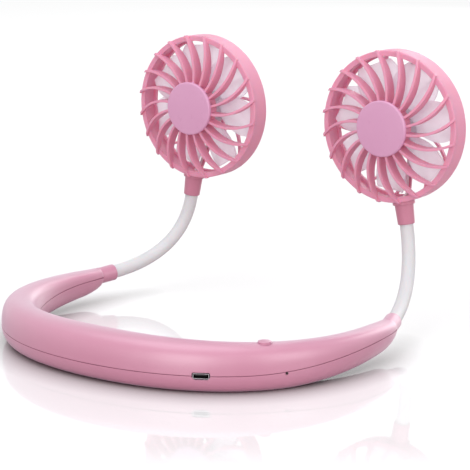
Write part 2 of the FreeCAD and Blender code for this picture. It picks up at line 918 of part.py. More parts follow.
# Power button: a low domed cap through the crown, held by a flange, with a stem to the switch
def make_power_button():
    spot = button_station.spot
    body = new_body("power_button", FreeCAD.Placement(Vector(spot.x, spot.y, 0), UPRIGHT))
    top = worked_out(button_station.crown) + seam + of.button_rise
    edge = top - of.button_edge_drop
    flange_top = top - of.button_rise - of.shell_wall - of.button_flange_drop
    flange_low = flange_top - of.button_flange_thickness
    stem_low = board_top + of.switch_height + of.plunger_rise
    wide = of.button_radius + of.button_flange
    revolve(
        body,
        [
            (0, stem_low),
            (of.button_stem_radius, stem_low),
            (of.button_stem_radius, flange_low),
            (wide, flange_low),
            (wide, flange_top),
            (of.button_radius, flange_top),
            (of.button_radius, edge, dome_radius(of.button_radius, of.button_edge_drop)),
            (0, top),
        ],
    )
    return node(body, "power_button")


# Collars: ferrules clamped in the band's ends, where the goosenecks leave
def make_collar(arm):
    label = f"arm_collar_{arm.side}"
    body = new_body(label, facing(arm.out, arm.seat - arm.out * float(of.collar_depth)))
    mouth = of.collar_depth + of.collar_show
    shoulder = mouth - of.sleeve_insert
    step = of.collar_depth - of.collar_step
    throat = of.lead_radius + of.slide_gap
    bore = of.sleeve_radius + of.fit_gap
    lip = of.collar_lip
    revolve(
        body,
        [
            (throat, 0),
            (of.collar_spigot_radius, 0),
            (of.collar_spigot_radius, step),
            (of.collar_radius, step),
            (of.collar_radius, mouth - lip, lip),
            (of.collar_radius - lip, mouth),
            (bore, mouth),
            (bore, shoulder),
            (throat, shoulder),
        ],
    )
    return node(body, label)


# Goosenecks: a silicone sleeve over a bendable metal tube that holds its shape round the lead
def make_gooseneck(arm):
    sleeve = cut(
        f"gooseneck_sleeve_{arm.side}",
        tube(f"sleeve_outside_{arm.side}", arm.neck, of.sleeve_radius),
        tube(f"sleeve_inside_{arm.side}", arm.neck, of.sleeve_bore),
    )
    node(sleeve, f"gooseneck_sleeve_{arm.side}")
    core = cut(
        f"gooseneck_core_{arm.side}",
        tube(f"core_outside_{arm.side}", arm.neck, of.core_radius),
        tube(f"core_inside_{arm.side}", arm.neck, of.core_bore),
    )
    node(core, f"gooseneck_core_{arm.side}")
    label = f"gooseneck_lead_{arm.side}"
    node(tube(label, arm.neck, of.lead_radius), label)


# Leads inside the band, from the board's ends over the cells to the collars
def make_band_lead(arm, shares):
    first = Station(shares[0])
    board_rise = float(of.lead_radius - of.board_drop)
    spots = [first.place(-first.half_width * LEAD_OFFSET_SHARE, board_rise)]
    for share in shares[1:]:
        station = Station(share)
        across = -station.half_width * LEAD_OFFSET_SHARE
        rise_share = ARM_LEAD_RISE_SHARE if abs(share) > BUTTON_SHARE else LEAD_RISE_SHARE
        spots.append(station.place(across, station.crown * rise_share))
    spots.append(arm.seat - arm.out * float(of.collar_depth + of.collar_approach))
    spots.append(arm.low_end)
    label = f"band_lead_{arm.side}"
    return node(tube(label, route(spots), of.lead_radius), label)


def head_body(label, arm, shift=0.0):
    """A body in a fan head's own frame: Z along the fan's axis to the front, Y up the stem."""
    return new_body(label, arm.head * FreeCAD.Placement(Vector(0, 0, shift), UPRIGHT))


def swirl_strip(sketch, start, bend, thickness, turn, direction):
    """A fin seen along the axis: it leaves the hub radially and bends to one side."""
    half = thickness / 2
    outer, inner = bend + half, bend - half
    sine = math.sin(math.radians(turn))
    cosine = math.cos(math.radians(turn))
    corners = [
        (start, -half * direction),
        (start + outer * sine, (bend - outer * cosine) * direction),
        (start + inner * sine, (bend - inner * cosine) * direction),
        (start, half * direction),
    ]
    arcs = (outer, None, -inner, None)
    if direction < 0:
        corners = [corners[3], corners[2], corners[1], corners[0]]
        arcs = (-inner, None, outer, None)
    draw_outline(sketch, [corner if arc is None else (*corner, arc) for corner, arc in zip(corners, arcs)])


# Front grille: swirling fins from the hub over the rim of the cage
def make_front_grille(arm):
    label = f"front_grille_{arm.side}"
    body = head_body(label, arm)
    sketch = new_sketch(body, "XY_Plane", -of.hub_back)
    start = of.hub_radius - of.hub_wall / 2
    swirl_strip(sketch, start, of.fin_bend_radius, of.fin_thickness, FIN_TURN_DEGREES, 1)
    fin = pad(body, sketch, of.hub_back + of.hub_front)
    spread_round(body, [fin], FIN_COUNT)
    reach = of.ring_radius + of.fin_overhang
    revolve(
        body,
        [
            (of.hub_radius, of.hub_front + of.overrun),
            (of.hub_radius, of.hub_front, -of.fin_front_radius),
            (reach, of.fin_rim_rise),
            (reach, -of.hub_back - of.overrun),
            (reach + of.overrun, -of.hub_back - of.overrun),
            (reach + of.overrun, of.hub_front + of.overrun),
        ],
        kind="PartDesign::Groove",
    )
    lip_outside = of.ring_radius - of.ring_wall - of.fit_gap
    lip_inside = lip_outside - of.lip_wall
    lip_end = -of.rim_depth - of.lip_depth
    peg_hole = of.peg_radius + of.fit_gap
    plate_back = of.hub_front - of.hub_plate
    skirt = of.hub_radius - of.hub_wall
    revolve(
        body,
        [
            (lip_inside, lip_end),
            (lip_outside, lip_end),
            (lip_outside, -of.rim_depth),
            (of.ring_radius, -of.rim_depth),
            (of.ring_radius, -of.rim_bevel, of.rim_bevel),
            (of.ring_radius - of.rim_bevel, 0),
            (lip_inside, 0),
        ],
        [
            (skirt, -of.hub_back),
            (of.hub_radius, -of.hub_back),
            (of.hub_radius, of.hub_front),
            (peg_hole, of.hub_front),
            (peg_hole, plate_back),
            (skirt, plate_back),
        ],
    )
    return node(body, label)


# Hub disc: a slightly domed cover pegged into the grille's hub
def make_hub_cap(arm):
    label = f"hub_cap_{arm.side}"
    body = head_body(label, arm)
    flat = of.cap_radius - of.cap_rounding
    front = of.hub_front + of.cap_edge
    revolve(
        body,
        [
            (0, of.hub_front - of.peg_length),
            (of.peg_radius, of.hub_front - of.peg_length),
            (of.peg_radius, of.hub_front),
            (of.cap_radius, of.hub_front),
            (of.cap_radius, front - of.cap_rounding, of.cap_rounding),
            (flat, front, dome_radius(flat, of.cap_crown)),
            (0, front + of.cap_crown),
        ],
    )
    return node(body, label)


cage_back = -of.ring_depth
cup_back = -of.ring_depth - of.rear_dome
cup_bore = of.motor_radius + of.fit_gap
cup_radius = cup_bore + of.motor_cup_wall
cage_lip = of.ring_radius - of.ring_wall - of.rear_lip
lead_rise = of.spoke_depth + of.lead_radius + of.fit_gap
motor_back = cup_back + of.motor_cup_plate
motor_front = motor_back + of.motor_length


# Rear housing: ring wall, domed ribs that swirl the other way, and the cup that holds the motor
def make_rear_housing(arm):
    label = f"rear_housing_{arm.side}"
    body = head_body(label, arm)
    sketch = new_sketch(body, "XY_Plane", cup_back)
    start = cup_radius - of.motor_cup_wall / 2
    swirl_strip(sketch, start, of.rear_rib_bend_radius, of.rear_rib_thickness, REAR_RIB_TURN_DEGREES, -1)
    rib = pad(body, sketch, of.rear_dome + of.rear_rib_depth)
    spread_round(body, [rib], REAR_RIB_COUNT)
    depth = of.rear_rib_depth
    far = of.ring_radius + of.overrun
    revolve(
        body,
        [
            (cup_radius, cup_back - of.overrun),
            (far, cup_back - of.overrun),
            (far, cage_back),
            (cage_lip, cage_back, -of.rear_dome_radius),
            (cup_radius, cup_back),
        ],
        [
            (0, cup_back + depth),
            (cup_radius, cup_back + depth, of.rear_dome_radius),
            (cage_lip, cage_back + depth),
            (far, cage_back + depth),
            (far, of.overrun),
            (0, of.overrun),
        ],
        kind="PartDesign::Groove",
    )
    wall_inside = of.ring_radius - of.ring_wall
    lip_front = cage_back + of.ring_wall
    cup_front = cup_back + of.motor_cup_depth
    revolve(
        body,
        [
            (cage_lip, cage_back),
            (of.ring_radius - of.ring_rounding, cage_back, of.ring_rounding),
            (of.ring_radius, cage_back + of.ring_rounding),
            (of.ring_radius, -of.rim_depth),
            (wall_inside, -of.rim_depth),
            (wall_inside, lip_front),
            (cage_lip, lip_front),
        ],
        [
            (0, cup_back),
            (cup_radius, cup_back),
            (cup_radius, cup_front),
            (cup_bore, cup_front),
            (cup_bore, motor_back),
            (0, motor_back),
        ],
    )
    spoke = new_sketch(body, "YZ_Plane")
    far_end = -cage_lip - of.rear_lip / 2
    near_end = -start
    draw_outline(
        spoke,
        [
            (far_end, cage_back, of.rear_dome_radius),
            (near_end, cup_back),
            (near_end, cup_back + of.spoke_depth, -of.rear_dome_radius),
            (far_end, cage_back + of.spoke_depth),
        ],
    )
    pad(body, spoke, of.spoke_width, both_ways=True)
    channel = new_sketch(body, "YZ_Plane")
    channel_front = depth + of.lead_radius
    channel_end = -wall_inside - of.fit_gap
    draw_outline(
        channel,
        [
            (channel_end, cage_back + of.spoke_depth, of.rear_dome_radius),
            (-cup_radius, cup_back + of.spoke_depth),
            (-cup_radius, cup_back + channel_front, -of.rear_dome_radius),
            (channel_end, cage_back + channel_front),
        ],
    )
    pocket(body, channel, (of.lead_radius + of.fit_gap) * 2, both_ways=True)
    spigot_hole = new_sketch(body, "XZ_Plane")
    draw_circle(spigot_hole, of.spigot_radius + of.fit_gap, 0, -of.stem_setback)
    pocket(body, spigot_hole, of.ring_radius + of.overrun, reverse=True)
    screw_holes = new_sketch(body, "XY_Plane", cup_back)
    for sign in SIDES.values():
        draw_circle(screw_holes, of.motor_screw_radius + of.fit_gap, of.motor_screw_spread * sign, 0)
    pocket(body, screw_holes, of.motor_cup_plate, reverse=True)
    recesses = new_sketch(body, "XY_Plane", cup_back)
    for sign in SIDES.values():
        draw_circle(recesses, of.motor_screw_head_radius + of.fit_gap, of.motor_screw_spread * sign, 0)
    pocket(body, recesses, of.motor_screw_head_height + of.fit_gap, reverse=True)
    return node(body, label)


# Stem: a tapered socket with a saddle flange under the ring, for the gooseneck's upper end
def make_head_stem(arm):
    label = f"head_stem_{arm.side}"
    body = head_body(label, arm, -float(of.stem_setback))
    ring = of.ring_radius
    shoulder = -ring - of.flange_thickness
    saddle = -ring + of.saddle_rise
    bore_top = -of.stem_end + of.sleeve_insert
    bore = of.sleeve_radius + of.fit_gap
    revolve(
        body,
        [
            (bore, -of.stem_end),
            (of.stem_end_radius, -of.stem_end),
            (of.stem_top_radius, shoulder),
            (of.flange_radius, shoulder),
            (of.flange_radius, saddle),
            (of.stem_bore_radius, saddle),
            (of.stem_bore_radius, bore_top),
            (bore, bore_top),
        ],
        plane="XY_Plane",
    )
    sketch = new_sketch(body, "XY_Plane")
    draw_circle(sketch, ring + of.fit_gap / 2)
    pocket(body, sketch, of.ring_depth * 2, both_ways=True)
    spigot_low = -ring - of.flange_thickness / 2
    spigot_top = -ring + of.ring_wall - of.fit_gap
    revolve(
        body,
        [
            (of.stem_bore_radius, spigot_low),
            (of.spigot_radius, spigot_low),
            (of.spigot_radius, spigot_top),
            (of.stem_bore_radius, spigot_top),
        ],
        plane="XY_Plane",
    )
    return node(body, label)


# Motor: a drawn can with a nose, two bearing bushes, a shaft and the screws that hold it
def make_motor_can(arm):
    label = f"motor_can_{arm.side}"
    body = head_body(label, arm)
    bore = of.bush_radius + of.press_gap
    rounding = of.motor_rounding
    revolve(
        body,
        [
            (bore, motor_back),
            (of.motor_radius - rounding, motor_back, rounding),
            (of.motor_radius, motor_back + rounding),
            (of.motor_radius, motor_front - rounding, rounding),
            (of.motor_radius - rounding, motor_front),
            (of.motor_boss_radius, motor_front),
            (of.motor_boss_radius, motor_front + of.motor_boss_rise),
            (bore, motor_front + of.motor_boss_rise),
        ],
    )
    holes = new_sketch(body, "XY_Plane", motor_back)
    for sign in SIDES.values():
        draw_circle(holes, of.motor_screw_radius + of.press_gap, of.motor_screw_spread * sign, 0)
    pocket(body, holes, of.motor_screw_length, reverse=True)
    return node(body, label)


def make_motor_bushes(arm):
    label = f"motor_bushes_{arm.side}"
    body = head_body(label, arm)
    bore = of.shaft_radius + of.shaft_gap
    nose = motor_front + of.motor_boss_rise
    lows = (motor_back + of.shaft_tail, nose - of.bush_length)
    outlines = []
    for low in lows:
        high = low + of.bush_length
        outlines.append([(bore, low), (of.bush_radius, low), (of.bush_radius, high), (bore, high)])
    revolve(body, *outlines)
    return node(body, label)


def make_motor_shaft(arm):
    label = f"motor_shaft_{arm.side}"
    body = head_body(label, arm)
    low = motor_back + of.shaft_tail
    high = -of.impeller_front
    bevel = of.shaft_bevel
    revolve(
        body,
        [
            (0, low),
            (of.shaft_radius - bevel, low),
            (of.shaft_radius, low + bevel),
            (of.shaft_radius, high - bevel),
            (of.shaft_radius - bevel, high),
            (0, high),
        ],
    )
    return node(body, label)


def make_motor_screws(arm):
    label = f"motor_screws_{arm.side}"
    screws = []
    for sign in SIDES.values():
        across = sign * float(of.motor_screw_spread)
        head_seat = cup_back + of.motor_screw_head_height + of.fit_gap
        lows = (head_seat - of.motor_screw_head_height, head_seat)
        radii = (of.motor_screw_head_radius, of.motor_screw_radius)
        heights = (of.motor_screw_head_height, of.motor_screw_length)
        steps = []
        for low, radius, height in zip(lows, radii, heights):
            place = arm.head * FreeCAD.Placement(Vector(across, 0, float(low)), UPRIGHT)
            steps.append(primitive("Part::Cylinder", f"{label}_step", place, Radius=radius, Height=height))
        screws.append(join(f"{label}_one", "Part::MultiFuse", *steps))
    return node(compound(label, screws), label)


# Lead across the cage: up the stem, back along the ring wall and in along the spoke to the motor
def make_head_lead(arm):
    label = f"head_lead_{arm.side}"
    lead = float(of.lead_radius)
    wall = float(of.ring_radius - of.ring_wall) - lead - float(of.fit_gap)
    setback = -float(of.stem_setback)
    spoke_end = float(cage_lip)
    middle = (spoke_end + float(cup_radius)) / 2
    spots = [
        Vector(0, -float(of.stem_end - of.sleeve_insert), setback),
        Vector(0, -wall, setback),
        Vector(0, -wall, spoke_level(spoke_end)),
        Vector(0, -middle, spoke_level(middle)),
        Vector(0, -float(cup_radius + of.slide_gap), spoke_level(float(cup_radius))),
    ]
    path = route([arm.head.multVec(spot) for spot in spots])
    return node(tube(label, path, of.lead_radius), label)


def spoke_level(radius):
    """How far back the lead's middle lies on the spoke, at a distance from the fan's axis."""
    start = Vector(float(cup_radius), float(cup_back), 0)
    end = Vector(float(cage_lip), float(cage_back), 0)
    arc = arc_between(start, end, float(of.rear_dome_radius))
    rise = arc.Center.y - math.sqrt(arc.Radius**2 - (radius - arc.Center.x) ** 2)
    return rise + float(lead_rise)


# Impeller: a cup over the motor with broad, bowed blades
def make_impeller(arm):
    label = f"impeller_{arm.side}"
    body = head_body(label, arm)
    front = -of.impeller_front
    plate_back = front - of.impeller_plate
    boss_back = plate_back - of.impeller_boss_depth
    bore = of.shaft_radius + of.shaft_gap / 2
    inside = of.impeller_hub_radius - of.impeller_hub_wall
    rounding = of.impeller_rounding
    revolve(
        body,
        [
            (bore, boss_back),
            (of.impeller_boss_radius, boss_back),
            (of.impeller_boss_radius, plate_back),
            (inside, plate_back),
            (inside, -of.impeller_back),
            (of.impeller_hub_radius, -of.impeller_back),
            (of.impeller_hub_radius, front - rounding, rounding),
            (of.impeller_hub_radius - rounding, front),
            (bore, front),
        ],
    )
    sections = []
    for part in ("root", "belly", "tip"):
        sizes = ("place", "half", "rise", "bow")
        place, half, rise, bow = (getattr(of, f"blade_{part}_{what}") for what in sizes)
        sketch = new_sketch(body, "YZ_Plane", place)
        low = -of.blade_middle - rise
        high = -of.blade_middle + rise
        draw_outline(
            sketch,
            [
                (-half, low, bow),
                (half, high),
                (half, high + of.blade_thickness, -bow),
                (-half, low + of.blade_thickness),
            ],
        )
        sections.append(sketch)
    blade = body.newObject("PartDesign::AdditiveLoft", f"{label}_blade")
    blade.Profile = sections[0]
    blade.Sections = sections[1:]
    doc.recompute()
    spread_round(body, [blade], BLADE_COUNT)
    return node(body, label)


def make_all():
    """Builds every piece, from the band outward to the rotors."""
    make_upper_shell()
    make_lower_shell()
    make_shell_screws()
    make_control_board()
    make_usb_socket()
    make_tact_switch()
    make_switch_plunger()
    make_status_led()
    make_indicator_lens()
    make_power_button()
    make_band_lead(ARMS["left"], LONG_LEAD_SHARES)
    make_band_lead(ARMS["right"], SHORT_LEAD_SHARES)
    for side, arm in ARMS.items():
        make_cell(side)
        make_collar(arm)
        make_gooseneck(arm)
        make_head_stem(arm)
        make_rear_housing(arm)
        make_front_grille(arm)
        make_hub_cap(arm)
        make_motor_can(arm)
        make_motor_bushes(arm)
        make_motor_screws(arm)
        make_head_lead(arm)
        make_motor_shaft(arm)
        make_impeller(arm)


def write_all():
    """Checks every object and piece, then writes one file for each piece."""
    doc.recompute()
    failed = [thing.Label for thing in doc.Objects if {"Invalid", "Error"} & set(thing.State)]
    if failed:
        raise ValueError(f"these did not build: {failed}")
    for thing in NODES:
        if thing.Shape.isNull() or not thing.Shape.isValid():
            raise ValueError(f"{thing.Label} has no valid shape")
    os.makedirs("parts", exist_ok=True)
    for thing in NODES:
        thing.Shape.exportStep(f"parts/{thing.Label}.step")
        print(thing.Label, len(thing.Shape.Solids), round(thing.Shape.Volume, 1))


make_all()
write_all()
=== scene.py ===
import json
import math
from collections import namedtuple

import bpy
from mathutils import Color, Matrix, Vector, geometry


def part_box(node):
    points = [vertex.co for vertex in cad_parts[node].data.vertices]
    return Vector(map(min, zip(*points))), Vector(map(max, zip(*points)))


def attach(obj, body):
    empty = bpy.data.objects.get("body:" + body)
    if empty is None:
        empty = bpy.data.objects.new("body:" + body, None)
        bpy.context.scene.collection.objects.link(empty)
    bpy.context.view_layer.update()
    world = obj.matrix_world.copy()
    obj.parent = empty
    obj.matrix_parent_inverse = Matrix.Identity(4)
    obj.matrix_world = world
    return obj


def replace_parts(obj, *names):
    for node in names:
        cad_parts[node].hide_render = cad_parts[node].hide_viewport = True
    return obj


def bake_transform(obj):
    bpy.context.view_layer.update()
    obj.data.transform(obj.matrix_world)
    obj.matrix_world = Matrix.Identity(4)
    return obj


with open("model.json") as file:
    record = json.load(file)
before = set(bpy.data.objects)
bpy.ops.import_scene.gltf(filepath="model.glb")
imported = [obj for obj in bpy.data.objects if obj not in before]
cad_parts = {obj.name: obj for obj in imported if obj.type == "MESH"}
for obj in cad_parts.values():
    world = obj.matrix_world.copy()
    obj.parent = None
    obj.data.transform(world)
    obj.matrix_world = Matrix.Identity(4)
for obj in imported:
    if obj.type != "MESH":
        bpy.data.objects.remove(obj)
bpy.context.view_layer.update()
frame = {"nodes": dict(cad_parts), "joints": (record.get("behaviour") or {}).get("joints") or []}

nodes = frame["nodes"]

# Neck band
# The fan's body: two thin injection-moulded shells in pale pink plastic with a satin skin.  Their seam is
# level round the back and climbs to the collars at the ends.  The upper shell carries the crown, the lower
# one lies on the table, and three screws from below draw them together.
mm = 0.001


class Finish:
    """One socket of a material.  Sums on it add Math nodes, and any other node comes from add."""

    def __init__(self, tree, socket):
        self.tree = tree
        self.socket = socket

    def add(self, kind, settings=None, inputs=None, output=0):
        node = self.tree.nodes.new(kind)
        for name, value in (settings or {}).items():
            setattr(node, name, value)
        for name, value in (inputs or {}).items():
            if isinstance(value, Finish):
                self.tree.links.new(value.socket, node.inputs[name])
            else:
                node.inputs[name].default_value = value
        return Finish(self.tree, node.outputs[output])

    def into(self, shader, name):
        self.tree.links.new(self.socket, shader.inputs[name])

    def sum_of(self, operation, first, second):
        return self.add("ShaderNodeMath", {"operation": operation}, {0: first, 1: second})

    def __add__(self, other):
        return self.sum_of("ADD", self, other)

    def __sub__(self, other):
        return self.sum_of("SUBTRACT", self, other)

    def __rsub__(self, other):
        return self.sum_of("SUBTRACT", other, self)

    def __mul__(self, other):
        return self.sum_of("MULTIPLY", self, other)

    __radd__ = __add__
    __rmul__ = __mul__


SCREEN_SHADES = 255


def tint(red, green, blue):
    """A colour given in the shades of a screen, as the light it stands for."""
    shades = Color([shade / SCREEN_SHADES for shade in (red, green, blue)])
    return (*shades.from_srgb_to_scene_linear(), 1.0)


def new_material(name, **constants):
    """A material, its main shader, and the object's own coordinates as a first socket."""
    material = bpy.data.materials.new(name)
    material.use_nodes = True
    tree = material.node_tree
    shader = tree.nodes["Principled BSDF"]
    for socket, value in constants.items():
        shader.inputs[socket.replace("_", " ")].default_value = value
    coordinates = tree.nodes.new("ShaderNodeTexCoord")
    return material, shader, Finish(tree, coordinates.outputs["Object"])


def noise(spot, scale, detail, distortion=0.0):
    """Cloudy noise over a surface."""
    return spot.add(
        "ShaderNodeTexNoise",
        None,
        {"Vector": spot, "Scale": scale, "Detail": detail, "Distortion": distortion},
    )


def mix_colours(factor, first, second):
    """A colour that goes from a first one to a second one as the factor rises."""
    return factor.add("ShaderNodeMix", {"data_type": "RGBA"}, {0: factor, 6: first, 7: second}, 2)


NOISE_MIDDLE = 0.5
FLOW_SCALE = 42.0
FLOW_DETAIL = 3.0
FLOW_DISTORTION = 0.6
SKIN_SCALE = 2600.0
SKIN_DETAIL = 2.0
SKIN_GLOSS = 0.06
SKIN_RELIEF_SHARE = 0.7
SKIN_DEPTH = 0.05 * mm
WIPE_SCALE = 170.0
WIPE_DETAIL = 4.0
WIPE_GLOSS = 0.14
EDGE_ROUND = 0.45 * mm
EDGE_SAMPLES = 6
Plastic = namedtuple("Plastic", "material shader spot")


def moulded_plastic(name, pale, deep, roughness, grain, **constants):
    """Moulded plastic: cloudy flow in the colour, a gloss that wanders, and a fine spark-eroded skin."""
    material, shader, spot = new_material(name, **constants)
    flow = noise(spot, FLOW_SCALE, FLOW_DETAIL, FLOW_DISTORTION)
    skin = noise(spot, SKIN_SCALE, SKIN_DETAIL)
    wipe = noise(spot, WIPE_SCALE, WIPE_DETAIL)
    mix_colours(flow, pale, deep).into(shader, "Base Color")
    gloss = roughness + (wipe - NOISE_MIDDLE) * WIPE_GLOSS + (skin - NOISE_MIDDLE) * SKIN_GLOSS
    gloss.into(shader, "Roughness")
    relief = skin * SKIN_RELIEF_SHARE + wipe * (1 - SKIN_RELIEF_SHARE)
    rounded = spot.add("ShaderNodeBevel", {"samples": EDGE_SAMPLES}, {"Radius": EDGE_ROUND})
    bump = spot.add(
        "ShaderNodeBump",
        None,
        {"Strength": grain, "Distance": SKIN_DEPTH, "Height": relief, "Normal": rounded},
    )
    bump.into(shader, "Normal")
    return Plastic(material, shader, spot)


def paint(material, *names):
    """Gives CAD nodes a material."""
    for name in names:
        nodes[name].data.materials.clear()
        nodes[name].data.materials.append(material)


BAND_LOOKS = {
    "Coat_Weight": 1.0, "Coat_IOR": 1.72, "Coat_Roughness": 0.42,
    "Sheen_Weight": 0.25, "Sheen_Roughness": 0.5, "Sheen_Tint": tint(236, 230, 255),
}
band_plastic = moulded_plastic(
    "band_plastic", pale=tint(204, 136, 162), deep=tint(198, 126, 153), roughness=0.36, grain=0.1,
    **BAND_LOOKS,
)
# The seam strips take a darker copy of the band's plastic: painted shade in the groove between the shells.
seam_painted_shade = moulded_plastic(
    "seam_painted_shade", pale=tint(168, 101, 125), deep=tint(160, 93, 117), roughness=0.5, grain=0.1
)


def new_piece(name, points, faces, *materials):
    """A smooth-shaded mesh object in the shared frame."""
    mesh = bpy.data.meshes.new(name)
    mesh.from_pydata(points, [], faces)
    mesh.validate()
    mesh.shade_smooth()
    for material in materials:
        mesh.materials.append(material)
    piece = bpy.data.objects.new(name, mesh)
    bpy.context.scene.collection.objects.link(piece)
    return piece


# The band's middle line, as a curve from the back to the right end, and its sizes at back and end.
BAND_BACK = Vector((0, -83.5, 0)) * mm
BACK_HANDLE = Vector((76.6, -83.5, 0)) * mm
END_HANDLE = Vector((102.0, -32.9, 0)) * mm
BAND_END = Vector((92.2, 26.8, 0)) * mm
BACK_HALF_WIDTH = 10.6 * mm
END_HALF_WIDTH = 5.8 * mm
BACK_TOP = 23.8 * mm
END_TOP = 17.6 * mm
BACK_BOTTOM = -0.5 * mm
END_BOTTOM = 5.6 * mm
SEAM_HEIGHT = 8.8 * mm
SEAT_HEIGHT = 13.5 * mm
TAPER_POWER = 1.2
TOP_POWER = 1.4
FLAT_UNDERSIDE_SHARE = 0.5
UNDERSIDE_POWER = 1.5
SEAM_CLIMB_SHARES = (0.4, 0.95)
RIGHT = Vector((1, 0, 0))
FORWARD = Vector((0, 1, 0))
UP = Vector((0, 0, 1))
Station = namedtuple("Station", "spot outward half_width crown belly taper")


def mix(start, end, share):
    """A size or place between two others."""
    return start + (end - start) * share


def ease(share):
    """A share that starts and ends its rise gently."""
    return share**2 * (3 - 2 * share)


def band_station(share):
    """The band's cross-section at a share of its half length; a negative share is on the left."""
    course = abs(share)
    mirror = -1 if share < 0 else 1
    rows = [BAND_BACK, BACK_HANDLE, END_HANDLE, BAND_END]
    ways = []
    while len(rows) > 1:
        ways = [after - before for before, after in zip(rows, rows[1:])]
        rows = [mix(before, after, course) for before, after in zip(rows, rows[1:])]
    spot = rows[0]
    way = ways[0].normalized()
    taper = course**TAPER_POWER
    lift = max(course - FLAT_UNDERSIDE_SHARE, 0.0) / (1 - FLAT_UNDERSIDE_SHARE)
    first, last = SEAM_CLIMB_SHARES
    climb = min(max((course - first) / (last - first), 0.0), 1.0)
    seam = mix(SEAM_HEIGHT, SEAT_HEIGHT, ease(climb))
    return Station(
        Vector((mirror * spot.x, spot.y, seam)),
        Vector((mirror * way.y, -way.x, 0)),
        mix(BACK_HALF_WIDTH, END_HALF_WIDTH, taper),
        mix(BACK_TOP, END_TOP, course**TOP_POWER) - seam,
        seam - mix(BACK_BOTTOM, END_BOTTOM, lift**UNDERSIDE_POWER),
        taper,
    )


QUARTER_STEPS = 14
OUTER_FULLNESS_SHARE = 0.7
INNER_FULLNESS_SHARES = (0.68, 0.8)
BELLY_FULLNESS_SHARE = 0.62
LIP_DEPTH = 0.3 * mm
LIP_RISE = 0.16 * mm
COLLAR_RING = 4.6 * mm


def quarter_round(fullness):
    """Points from the side of a rounded quarter to its top, in shares of its width and height."""
    return geometry.interpolate_bezier((1, 0), (1, fullness), (fullness, 1), (0, 1), QUARTER_STEPS + 1)


def shell_row(station, over, closing):
    """Points of one shell's section from outer lip to inner lip; closing draws it in round the collar."""
    tall = station.belly
    outer_fullness = BELLY_FULLNESS_SHARE
    inner_fullness = BELLY_FULLNESS_SHARE
    if over > 0:
        tall = station.crown
        outer_fullness = OUTER_FULLNESS_SHARE
        inner_fullness = mix(*INNER_FULLNESS_SHARES, station.taper)
    outer = quarter_round(outer_fullness)
    inner = [Vector((-across, rise)) for across, rise in quarter_round(inner_fullness)]
    section = [(station.half_width - LIP_DEPTH, 0.0)]
    for across, rise in outer[:-1] + inner[::-1]:
        section.append((across * station.half_width, over * mix(LIP_RISE, tall, rise)))
    section.append((LIP_DEPTH - station.half_width, 0.0))
    row = []
    for index, (across, rise) in enumerate(section):
        turn = math.pi * index / (len(section) - 1)
        across = mix(across, COLLAR_RING * math.cos(turn), closing)
        rise = mix(rise, over * COLLAR_RING * math.sin(turn), closing)
        point = station.spot + station.outward * across + UP * rise
        row.append(Vector((point.x, point.y, max(point.z, 0.0))))
    return row


BODY_STEPS = 90
END_STEPS = 16
END_SHARE = 0.075
stations = [(step / BODY_STEPS * (1 - END_SHARE), 0.0) for step in range(BODY_STEPS + 1)]
for step in range(1, END_STEPS + 1):
    turn = math.pi / 2 * step / END_STEPS
    stations.append((1 - END_SHARE * (1 - math.sin(turn)), 1 - math.cos(turn)))
stations = [(-share, closing) for share, closing in stations[:0:-1]] + stations


def prism(outline, base, side, over, way):
    """The points and faces of a straight block with any outline."""
    count = len(outline)
    low = [base + side * across + over * rise for across, rise in outline]
    points = low + [point + way for point in low]
    faces = [tuple(range(count))[::-1], tuple(range(count, 2 * count))]
    for index in range(count):
        after = (index + 1) % count
        faces.append((index, after, count + after, count + index))
    return points, faces


ROUND_STEPS = 40


def round_outline(radius, steps=ROUND_STEPS):
    """A circle's points."""
    turns = [2 * math.pi * step / steps for step in range(steps)]
    return [(radius * math.cos(turn), radius * math.sin(turn)) for turn in turns]


def upright_hole(radius, foot, height):
    """A round block that stands on a point."""
    return prism(round_outline(radius), foot, RIGHT, FORWARD, UP * height)


SOCKET_SHARE = 0.29
SLOT_HALF_WIDTH = 4.2 * mm
SLOT_HALF_HEIGHT = 1.7 * mm
SLOT_BEVEL = 1.1 * mm
SLOT_CORNER = 0.5 * mm
SLOT_REACH = 8.0 * mm
BUTTON_SHARE = 0.47
BUTTON_HOLE = 3.3 * mm
LENS_SHARE = 0.52
LENS_HOLE = 0.65 * mm
SCREW_SHARES = (-0.59, 0.0, 0.59)
SCREW_HOLE = 2.2 * mm
SCREW_HOLE_DEPTH = 6.0 * mm
SHELL_WALL = 1.6 * mm
slot_outline = [
    (-SLOT_HALF_WIDTH, SLOT_HALF_HEIGHT - SLOT_CORNER), (-SLOT_HALF_WIDTH, SLOT_BEVEL - SLOT_HALF_HEIGHT),
    (SLOT_BEVEL - SLOT_HALF_WIDTH, -SLOT_HALF_HEIGHT), (SLOT_HALF_WIDTH - SLOT_BEVEL, -SLOT_HALF_HEIGHT),
    (SLOT_HALF_WIDTH, SLOT_BEVEL - SLOT_HALF_HEIGHT), (SLOT_HALF_WIDTH, SLOT_HALF_HEIGHT - SLOT_CORNER),
    (SLOT_HALF_WIDTH - SLOT_CORNER, SLOT_HALF_HEIGHT), (SLOT_CORNER - SLOT_HALF_WIDTH, SLOT_HALF_HEIGHT),
]
socket_station = band_station(SOCKET_SHARE)
side_cuts = []
for station, outline in (
    (socket_station, slot_outline),
    (band_station(LENS_SHARE), round_outline(LENS_HOLE)),
):
    middle = Vector((station.spot.x, station.spot.y, SEAM_HEIGHT))
    start = middle + station.outward * (station.half_width - SLOT_REACH / 2)
    side_cuts.append(prism(outline, start, UP.cross(station.outward), UP, station.outward * SLOT_REACH))
button_cut = upright_hole(BUTTON_HOLE, band_station(BUTTON_SHARE).spot, BACK_TOP)
screw_cuts = []
for share in SCREW_SHARES:
    spot = band_station(share).spot
    hole_foot = Vector((spot.x, spot.y, -SCREW_HOLE_DEPTH / 2))
    screw_cuts.append(upright_hole(SCREW_HOLE, hole_foot, SCREW_HOLE_DEPTH))


